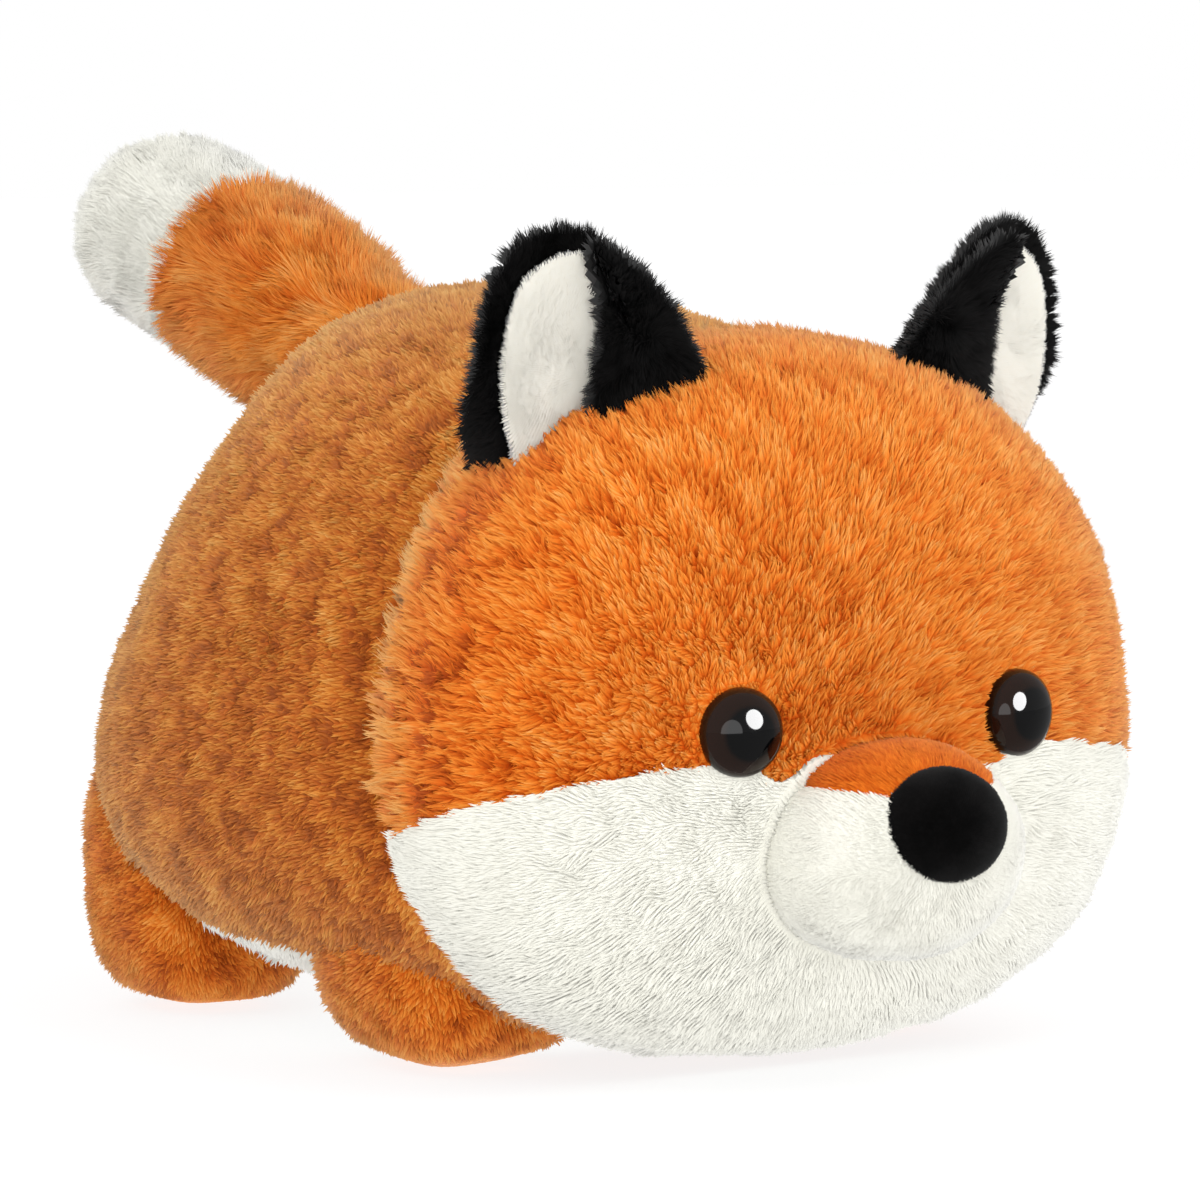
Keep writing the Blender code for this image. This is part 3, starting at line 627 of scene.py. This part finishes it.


# The body's plush made a brighter orange: painted light on the legs.
LEG_PAINTED_LIGHT_PLUSH = pile_material(
    "leg_painted_light_pile",
    roots=((0.0, (0.26, 0.030, 0.001)), (0.3, (0.58, 0.090, 0.004)), (0.55, (0.78, 0.15, 0.008)),
           (0.95, (0.88, 0.22, 0.018))),
    tips=((0.0, (0.46, 0.075, 0.005)), (0.3, (0.84, 0.20, 0.016)), (0.55, (0.96, 0.33, 0.042)),
          (0.95, (1.0, 0.50, 0.13))), sheen=0.5, tint=(1.0, 0.82, 0.5))
LEG_CUTS = 37
LEG_INSIDE = 0.005
LEG_NECK_GAP = 0.003
ways, triangles = ball(LEG_CUTS)
for number, (name, form) in enumerate(LEGS.items()):
    points = form.at(ways)
    points[:, 2] = np.maximum(points[:, 2], 0)
    middles = points[triangles].mean(axis=1)
    shown = (HEAD.depth(middles) < LEG_INSIDE) | (behind_neck(middles) > LEG_NECK_GAP)
    shown &= BODY.depth(middles) < LEG_INSIDE
    leg = grow(f"{name}_plush", points, triangles, shown, form.centre, BODY_PILE, leg_flow(middles),
               LEG_PAINTED_LIGHT_PLUSH, 31 + number, leg_length(middles))
    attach(leg, "head_and_body")
    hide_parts(f"{name}_cover")


# Muzzle: a stuffed snout of short-pile plush, white with an orange patch on top, sewn together along a seam
# that rises a little to both sides. Its edge is sewn to the face, and it is open in front for the nose.
MUZZLE_HEART = np.array((0, -0.128, 0.050))
MUZZLE_CUTS = 48
MUZZLE_INSIDE = 0.005
MUZZLE_SEAM_RISE = 0.0590
MUZZLE_SEAM_SLOPE = 0.15
MUZZLE_SEAM_SINK = 0.0006
UNDER_NOSE = 0.003
NOSE = Form((0, -0.1483, 0.0538), (0.0142, 0.0100, 0.0100, 0.0116), (2, 2))


def above_patch_seam(place):
    """How far above the seam of the muzzle's patch places lie."""
    return place[:, 2] - MUZZLE_SEAM_RISE - MUZZLE_SEAM_SLOPE * np.abs(place[:, 0])


def muzzle_flow(place):
    """The pile lies back from a point before the nose, and a little less up and down than sideways."""
    return (place - np.array((0, -0.16, 0.052))) * np.array((1, 1, 0.8))


PATCH_PLUSH = pile_material(
    "patch_plush_pile",
    roots=((0.1, (0.52, 0.050, 0.002)), (0.9, (0.80, 0.14, 0.008))),
    tips=((0.1, (0.62, 0.080, 0.004)), (0.9, (0.98, 0.29, 0.025))), sheen=0.3, tint=(1.0, 0.75, 0.35))
MUZZLE_PILE = Pile(0.0018, 0.0007, 0.0016, pull=0.2, lean=1.6, fold=0.0002, room=0.0026, relief=0.16,
                   wander=0.7)
points, triangles = ball(MUZZLE_CUTS)
points = MUZZLE.at(points)
sink = MUZZLE_SEAM_SINK * bump(above_patch_seam(points), 0.001)
middles = points[triangles].mean(axis=1)
shown = (HEAD.depth(middles) < MUZZLE_INSIDE) & (NOSE.depth(middles) < UNDER_NOSE)
above = above_patch_seam(middles) > 0
for name, node, region, look, slot, seed in (
        ("muzzle_plush", "muzzle_cover", shown & ~above, WHITE_PLUSH, "white_plush", 41),
        ("muzzle_patch_plush", "muzzle_top_patch", shown & above, PATCH_PLUSH, "orange_plush", 42)):
    side = grow(name, points, triangles, region, MUZZLE_HEART, MUZZLE_PILE, muzzle_flow(middles), look, seed,
                sink=sink)
    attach(side, "head_and_body")
    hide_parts(node)


# Nose: a firm oval of black velour over stuffing, sewn into the front of the muzzle.
# Its nap is so short that only a soft grey edge shows it.
NOSE_CUTS = 36
NOSE_INSIDE = 0.003
NAP = Pile(0.0007, 0.0004, 0.0012, pull=0.1, lean=0.6, fold=0.0001, room=0.0016)
VELOUR = pile_material(
    "black_velour_nap",
    roots=((0.1, (0.002, 0.002, 0.002)), (0.9, (0.004, 0.004, 0.004))),
    tips=((0.1, (0.004, 0.004, 0.004)), (0.9, (0.009, 0.008, 0.008))), sheen=0.08)
points, triangles = ball(NOSE_CUTS)
points = NOSE.at(points)
middles = points[triangles].mean(axis=1)
nose = grow("nose_velour", points, triangles, MUZZLE.depth(middles) < NOSE_INSIDE, NOSE.centre, NAP,
            muzzle_flow(middles), VELOUR, 43)
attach(nose, "head_and_body")
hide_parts("nose_cover")


# Eyes: domed safety eyes of polished plastic, with a black pupil in a dark brown ring.
# Each is pushed through the crown's cloth, sits a little sunk in its pile, and is clipped behind.
EYE_DOME = 0.0062
EYE_RIM = 0.0010
EYE_SINK = 0.0026
DOME_STEPS = 14
DOME_TURNS = 56
eye_material, shader, make = new_material("eye_gloss", Roughness=0.05, Specular_IOR_Level=0.35)
where = make.add("ShaderNodeUVMap", {"uv_map": "EyeMap"})
radius = make.add("ShaderNodeSeparateXYZ", Vector=where)
ring = make.add("ShaderNodeValToRGB", {"stops": (
    (0.0, (0.0015, 0.0015, 0.0017)), (0.56, (0.0015, 0.0015, 0.0017)), (0.66, (0.012, 0.0055, 0.0035)),
    (0.92, (0.016, 0.007, 0.0045)), (1.0, (0.003, 0.002, 0.002)))}, at0=radius)
make.tree.links.new(ring.socket, shader.inputs["Base Color"])


def turned_dome(name, place, way):
    """A dome turned about its axis: radius R cos a and height rim + (dome - rim) sin a, shut by a disc.

    Its own map holds each point's share of the radius across and its share of the turn up.
    """
    rise = np.linspace(math.pi / 2, 0, DOME_STEPS)
    radii = np.concatenate((EYE_RADIUS * np.cos(rise), (EYE_RADIUS, 0.0)))
    heights = np.concatenate((EYE_RIM + (EYE_DOME - EYE_RIM) * np.sin(rise), (0.0, 0.0)))
    turn = np.arange(DOME_TURNS) * 2 * math.pi / DOME_TURNS
    grid = np.stack((radii[:, None] * np.cos(turn), radii[:, None] * np.sin(turn),
                     np.repeat(heights[:, None], DOME_TURNS, axis=1)), axis=2)
    i, j = (part.ravel() for part in np.meshgrid(
        np.arange(len(radii) - 1), np.arange(DOME_TURNS), indexing="ij"))
    here, below = i * DOME_TURNS, (i + 1) * DOME_TURNS
    after = (j + 1) % DOME_TURNS
    faces = np.stack((here + j, below + j, below + after, here + after), axis=1)
    mesh = bpy.data.meshes.new(name)
    mesh.from_pydata(grid.reshape(-1, 3), [], faces.tolist())
    for layer in ("EyeMap", "OFBake"):
        share = np.stack((radii[faces // DOME_TURNS] / EYE_RADIUS, (j[:, None] + (0, 0, 1, 1)) / DOME_TURNS),
                         axis=2)
        mesh.uv_layers.new(name=layer).data.foreach_set("uv", share.astype(np.float32).ravel())
    mesh.polygons.foreach_set("use_smooth", np.ones(len(faces), bool))
    turned = Vector(way).to_track_quat("Z", "Y").to_matrix().to_4x4()
    mesh.transform(Matrix.Translation(Vector(place)) @ turned)
    mesh.materials.append(eye_material)
    eye = bpy.data.objects.new(name, mesh)
    bpy.context.scene.collection.objects.link(eye)
    return eye


for flank, (point, way) in zip(("right", "left"), EYES):
    eye = turned_dome(f"{flank}_eye_dome", point - way * EYE_SINK, way)
    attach(eye, "head_and_body")
    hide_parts(f"{flank}_eye")


# Ears: cupped black petals of shaggy plush with a smooth cream lining, sewn to the crown along their foot.
# The inner side of each petal is turned over towards the front, as a flap that covers the lining's edge.
EAR_INSIDE = 0.006
CURL_START = 0.016
LINING_MIDDLE = (-0.002, 0.011)
COVERED_SHARE = 0.06
BLACK_PLUSH = pile_material(
    "black_plush_pile",
    roots=((0.1, (0.002, 0.002, 0.002)), (0.9, (0.004, 0.004, 0.004))),
    tips=((0.1, (0.004, 0.004, 0.004)), (0.9, (0.014, 0.013, 0.013))), sheen=0.12)
CREAM_PLUSH = pile_material(
    "cream_plush_pile",
    roots=((0.1, (0.97, 0.93, 0.81)), (0.9, (0.98, 0.95, 0.84))),
    tips=((0.1, (0.98, 0.95, 0.84)), (0.9, (1.0, 0.98, 0.90))), sheen=1.0)

# The ear's own frame runs along its seam towards the head's middle, up the ear, and to the front.
EAR_SEAT = np.array((-0.0455, -0.0934, 0.1360))
SEAM_WAY = np.array(Vector((0.84, -0.20, 0.50)).normalized())
RISE_WAY = np.array((-0.48, -0.12, 0.87))
RISE_WAY -= SEAM_WAY * (RISE_WAY @ SEAM_WAY)
RISE_WAY /= np.linalg.norm(RISE_WAY)
EAR_FRAME = np.stack((SEAM_WAY, RISE_WAY, np.cross(SEAM_WAY, RISE_WAY)))


def smooth_rim(*corners):
    """A closed curve through corners in millimetres: a Catmull-Rom cubic from each corner to the next."""
    here = 0.001 * np.array(corners)
    before, after, beyond = (np.roll(here, step, axis=0) for step in (1, -1, -2))
    share = np.linspace(0, 1, 12, endpoint=False)[:, None, None]
    curve = here + 0.5 * share * (after - before)
    curve = curve + share ** 2 * (before - 2.5 * here + 2 * after - 0.5 * beyond)
    curve = curve + 0.5 * share ** 3 * (3 * here - before - 3 * after + beyond)
    return curve.transpose(1, 0, 2).reshape(-1, 2)


def rim_reach(rim, middle, turn):
    """How far an outline reaches from a middle at each angle."""
    angle = np.arctan2(*(rim - middle).T[::-1])
    order = np.argsort(angle)
    return np.interp(turn, angle[order], np.linalg.norm(rim - middle, axis=1)[order], period=2 * math.pi)


def petal(ways, rim, middle, depth, thickness, bend, curl):
    """A flat ball laid into an outline: each direction's disc radius is the root of 1 - |front share|.

    The disc is stretched to the outline's reach at each angle, and the two sides stand off by the root of
    1 - radius to the fourth. The whole bends forward by bend times the square of the way across, and its
    outer edge turns back by curl times the square of the way past CURL_START. It gives places in the
    ear's own frame: across towards the head's middle, up, and to the front.
    """
    share = np.sqrt(np.maximum(1 - np.abs(ways[:, 2]), 0))
    turn = np.arctan2(ways[:, 1], ways[:, 0])
    radius = share * rim_reach(rim, middle, turn)
    across, height = middle[0] + radius * np.cos(turn), middle[1] + radius * np.sin(turn)
    front = depth + np.sign(ways[:, 2]) * thickness / 2 * np.sqrt(np.maximum(1 - share ** 4, 0))
    past = np.maximum(-across - CURL_START, 0)
    front += bend * np.where(across > 0, 1.8, 1.0) * across ** 2 - curl * past ** 2
    return np.stack((across, height, front), axis=1)


EAR_RIM = smooth_rim((-22.5, -6), (-23, 3), (-21, 10), (-16.5, 18), (-10, 26), (-4, 31), (2, 33), (8, 32),
                     (13.5, 28), (17.5, 20.5), (20, 12), (20.5, 4), (20, -6), (8, -10), (-10, -9))
FLAP_RIM = smooth_rim((20.5, -7), (20.8, 3), (20, 11), (17.5, 19.5), (14, 26.5), (12, 29), (11.2, 25),
                      (10.6, 19), (8, 12.5), (4, 6.5), (-0.5, 0), (-3.5, -6), (8, -12))
LINING_RIM = smooth_rim((-18, -8), (-18.5, 1.5), (-15, 12.5), (-9.5, 21), (-4, 26.5), (2, 28.6), (8, 28),
                        (12.5, 24.5), (14.5, 18.5), (14.5, 12), (13, 4), (9, -6), (-4, -10))
SHAGGY_PILE = Pile(0.0036, 0, 0.0024, pull=0.3, lean=0.9, unevenness=0.25, fold=0)
SMOOTH_PILE = Pile(0.0018, 0, 0.0018, pull=0.1, lean=1.8, unevenness=0.12, fold=0, relief=0.1, wander=0.3)

# A part's name and CAD node, cuts, outline and its middle, depth, thickness, bend, curl, where its pile flows
# from, pile, look, slot and seed. The flap's CAD solid is one with the back's.
EAR_PARTS = (
    ("ear_plush", "ear_back", 48, EAR_RIM, (0.000, 0.012), -0.0012, 0.0016, 6.6, 170, (0.001, 0.004),
     SHAGGY_PILE, BLACK_PLUSH, "black_plush", 71),
    ("ear_flap_plush", None, 26, FLAP_RIM, (0.0115, 0.005), 0.0060, 0.0032, 0, 0, (0.015, 0.006),
     SHAGGY_PILE, BLACK_PLUSH, "black_plush", 73),
    ("ear_lining_plush", "ear_lining", 34, LINING_RIM, LINING_MIDDLE, 0.0018, 0.0018, 6.6, 80, (0.001, 0.004),
     SMOOTH_PILE, CREAM_PLUSH, "cream_plush", 72))
for flank, side in (("right", 1), ("left", -1)):
    mirror = np.array((side, 1, 1))
    for (name, node, cuts, rim, middle, depth, thickness, bend, curl, origin,
         pile, look, slot, seed) in EAR_PARTS:
        ways, triangles = ball(cuts)
        places = petal(ways, rim, np.array(middle), depth, thickness, bend, curl)
        points = (EAR_SEAT + places @ EAR_FRAME) * mirror
        under = places[triangles].mean(axis=1)

        # The back's pile is short where the lining lies on it.
        lining = under[:, :2] - np.array(LINING_MIDDLE)
        lining_reach = rim_reach(LINING_RIM, LINING_MIDDLE, np.arctan2(*lining.T[::-1]))
        covered = np.linalg.norm(lining, axis=1) < lining_reach
        covered &= (ways[triangles].mean(axis=1)[:, 2] > -0.02) & (name == "ear_plush")
        flow = under - np.array((*origin, 0.0))
        if side < 0:
            triangles = triangles[:, ::-1]
        middles = points[triangles].mean(axis=1)
        heart = (EAR_SEAT + np.array(((*middle, depth),)) @ EAR_FRAME) * mirror
        ear = grow(f"{flank}_{name}", points, triangles, HEAD.depth(middles) < EAR_INSIDE, heart[0], pile,
                   (flow @ EAR_FRAME) * mirror, look, seed, np.where(covered, COVERED_SHARE, 1.0))
        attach(ear, f"{flank}_ear")
        if node:
            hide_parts(f"{flank}_{node}")


# Tail: a thick brush of the longest pile, orange with a white tip, stuffed and sewn over the opening in the
# body's back. The orange is the crown's plush, and the tip's pile is a little shorter and lies flatter.
TAIL_CUTS = 66
TAIL_INSIDE = 0.006
TAIL_RADIUS = 0.0225
TAIL_LENGTH = 0.1075
TAIL_SWELL = 0.0280
TAIL_SEAM = 0.0550
TAIL_LIFT = math.radians(18)
TAIL_PALER = 0.07
TIP_SINK = 0.002
TAIL_WAY = np.array((0, math.cos(TAIL_LIFT), math.sin(TAIL_LIFT)))
TAIL_FRAME = np.stack((np.array((1, 0, 0)), np.array((0, TAIL_WAY[2], -TAIL_WAY[1])), TAIL_WAY))


def tail_radius(height):
    """A ball at the root, a smooth swell to full width, and a ball again at the tip."""
    reach = rise_to_one(height, TAIL_SWELL)
    swelling = TAIL_ROOT_RADIUS + (TAIL_RADIUS - TAIL_ROOT_RADIUS) * (3 - 2 * reach) * reach ** 2
    root = np.sqrt(np.maximum(TAIL_ROOT_RADIUS ** 2 - np.minimum(height, 0) ** 2, 0))
    over = np.maximum(height - (TAIL_LENGTH - TAIL_RADIUS), 0)
    end = np.sqrt(np.maximum(TAIL_RADIUS ** 2 - over ** 2, 0))
    return np.where(height < 0, root, np.where(over > 0, end, swelling))


def tail_flow(place):
    """The pile lies towards the tip and wanders a little to every side."""
    return TAIL_WAY + 0.25 * np.stack([swell(place, 0.03, seed) for seed in (81, 82, 83)], axis=1)


# The ball's points are laid along the tail in the order of their height, so that all its triangles stay alike
# in size: the share of the ball's surface below a point is the share of the tail's.
ways, triangles = ball(TAIL_CUTS)
quarter = np.linspace(0, math.pi / 2, 60)
straight = TAIL_LENGTH - TAIL_RADIUS
heights = np.concatenate((-TAIL_ROOT_RADIUS * np.cos(quarter[:-1]), np.linspace(0, straight, 80),
                          straight + TAIL_RADIUS * np.sin(quarter[1:])))
radii = tail_radius(heights)
slant = np.hypot(np.diff(heights), np.diff(radii)) * (radii[1:] + radii[:-1])
areas = np.concatenate(((0,), np.cumsum(slant))) / slant.sum()
along = np.interp((ways[:, 2] + 1) / 2, areas, heights)
wide = np.interp((ways[:, 2] + 1) / 2, areas, radii)
round_way = unit(ways * (1, 1, 0))
points = TAIL_PIVOT + np.stack((round_way[:, 0] * wide, round_way[:, 1] * wide, along), axis=1) @ TAIL_FRAME
middles = points[triangles].mean(axis=1)
shown = BODY.depth(middles) < TAIL_INSIDE
tip = (middles - TAIL_PIVOT) @ TAIL_WAY > TAIL_SEAM
TAIL_PILE = Pile(0.0058, 0.0038, 0.0026, pull=0.35, lean=0.7, unevenness=0.3)
TIP_PILE = Pile(0.0046, 0.0022, 0.0030, pull=0.25, lean=1.3, relief=0.18, wander=0.7)

# The tip is a little thinner underneath, from nothing at 72 mm from the tail's root to all of it at 92 mm.
under_tip = np.clip((points - TAIL_PIVOT) @ TAIL_WAY / 0.020 - 3.6, 0, 1) * np.clip(-round_way[:, 1], 0, 1)
for name, node, region, heart, pile, look, slot, seed in (
        ("tail_plush", "tail_cover", shown & ~tip, 0.030, TAIL_PILE, ORANGE_PLUSH, "body_plush", 84),
        ("tail_tip_plush", "tail_tip_cover", shown & tip, 0.080, TIP_PILE, WHITE_PLUSH, "white_plush", 85)):
    part = grow(name, points, triangles, region, TAIL_PIVOT + TAIL_WAY * heart, pile, tail_flow(middles),
                look, seed, sink=TIP_SINK * under_tip, paler=np.full(len(middles), TAIL_PALER))
    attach(part, "tail")
    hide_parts(node)


# Stuffing and lock washers: loose white fibre fills every stuffed cover, and moulded rings clip onto the
# shanks of the eyes inside the head. Both keep the solids of the CAD model and only get their material here.
fibre, shader, make = new_material("stuffing_fibre", Roughness=1.0, Sheen_Weight=0.3)
where = make.add("ShaderNodeTexCoord", output=3)
tufts = make.add("ShaderNodeTexNoise", Vector=where, Scale=260.0, Detail=6.0, Roughness=0.7)
fibre_stops = ((0.3, (0.78, 0.78, 0.76)), (0.7, (0.92, 0.92, 0.90)))
colour = make.add("ShaderNodeValToRGB", {"stops": fibre_stops}, at0=tufts)
relief = make.add("ShaderNodeBump", Height=tufts, Strength=0.8, Distance=0.002)
make.tree.links.new(colour.socket, shader.inputs["Base Color"])
make.tree.links.new(relief.socket, shader.inputs["Normal"])

washer, shader, make = new_material("washer_moulding", Base_Color=(0.75, 0.75, 0.73, 1))
where = make.add("ShaderNodeTexCoord", output=3)
grain = make.add("ShaderNodeTexNoise", Vector=where, Scale=900.0, Detail=3.0)
relief = make.add("ShaderNodeBump", Height=grain, Strength=0.15, Distance=0.0003)
make.tree.links.new((grain * 0.15 + 0.38).socket, shader.inputs["Roughness"])
make.tree.links.new(relief.socket, shader.inputs["Normal"])
for name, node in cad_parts.items():
    if name.endswith(("_filling", "_washer")):
        node.data.materials.clear()
        node.data.materials.append(washer if name.endswith("_washer") else fibre)


# Floor and light: a pale studio floor that is mostly its own glow, so that the fox's shadow on it stays soft,
# an even white room and four round soft lamps. Mirror rays see floor and room darker, so that the eyes stay
# dark, and only the front and glint lamps show in them.
ROOM_LIGHT = 1.0
ROOM_DIMMING = 0.6
FLOOR_DIMMING = 0.7
FLOOR_GLOW = 0.9
SEEN_GLOW_LOSS = 0.1
FLOOR_HALF_SIZE = 6
floor_material, floor_shader, make = new_material(
    "studio_floor", Base_Color=(0.90, 0.90, 0.90, 1), Roughness=0.9)
seen = make.add("ShaderNodeLightPath")
glow = make.add("ShaderNodeEmission", Color=(1, 1, 1, 1), Strength=1.06)
lit = Shade(make.tree, floor_shader.outputs[0])
mixed = make.add("ShaderNodeMixShader", at0=FLOOR_GLOW - seen * SEEN_GLOW_LOSS, at1=lit, at2=glow)
mirrored = make.add("ShaderNodeLightPath", output=3)
dark = make.add("ShaderNodeEmission", Color=(0, 0, 0, 1), Strength=0.0)
mixed = make.add("ShaderNodeMixShader", at0=mirrored * FLOOR_DIMMING, at1=mixed, at2=dark)
make.tree.links.new(mixed.socket, make.tree.nodes["Material Output"].inputs[0])
floor_mesh = bpy.data.meshes.new("floor")
floor_corners = FLOOR_HALF_SIZE * np.array(((-1, -1, 0), (1, -1, 0), (1, 1, 0), (-1, 1, 0)))
floor_mesh.from_pydata(floor_corners, [], [(0, 1, 2, 3)])
floor_mesh.materials.append(floor_material)
floor = bpy.data.objects.new("floor", floor_mesh)
bpy.context.scene.collection.objects.link(floor)


def add_lamp(name, place, target, size, power):
    """A round soft lamp at a place, turned to a target."""
    data = bpy.data.lights.new(name, "AREA")
    data.shape = "DISK"
    data.size = size
    data.energy = power
    lamp = bpy.data.objects.new(name, data)
    bpy.context.scene.collection.objects.link(lamp)
    aim = (Vector(target) - Vector(place)).to_track_quat("-Z", "Y").to_matrix().to_4x4()
    lamp.matrix_world = Matrix.Translation(place) @ aim
    return lamp


key = add_lamp("key_lamp", (0.30, -1.10, 1.45), (0, -0.05, 0.08), 0.9, 6)
add_lamp("front_lamp", (-0.60, -1.50, 0.05), (0, -0.05, 0.05), 1.2, 8)
fill = add_lamp("fill_lamp", (-1.30, -0.20, 1.20), (0, 0, 0.08), 0.7, 4)
glint = add_lamp("glint_lamp", (0.52, -1.40, 0.50), (0, -0.13, 0.07), 0.8, 50)
glint.visible_diffuse = False
for lamp in (key, fill):
    lamp.visible_glossy = False

room = bpy.data.worlds.new("room")
room.use_nodes = True
bpy.context.scene.world = room
make = Shade(room.node_tree)
mirrored = make.add("ShaderNodeLightPath", output=3)
room_light = ROOM_LIGHT - mirrored * ROOM_DIMMING
room.node_tree.links.new(room_light.socket, room.node_tree.nodes["Background"].inputs["Strength"])
room.node_tree.nodes["Background"].inputs["Color"].default_value = (1, 1, 1, 1)
bpy.context.scene.view_settings.view_transform = "Standard"
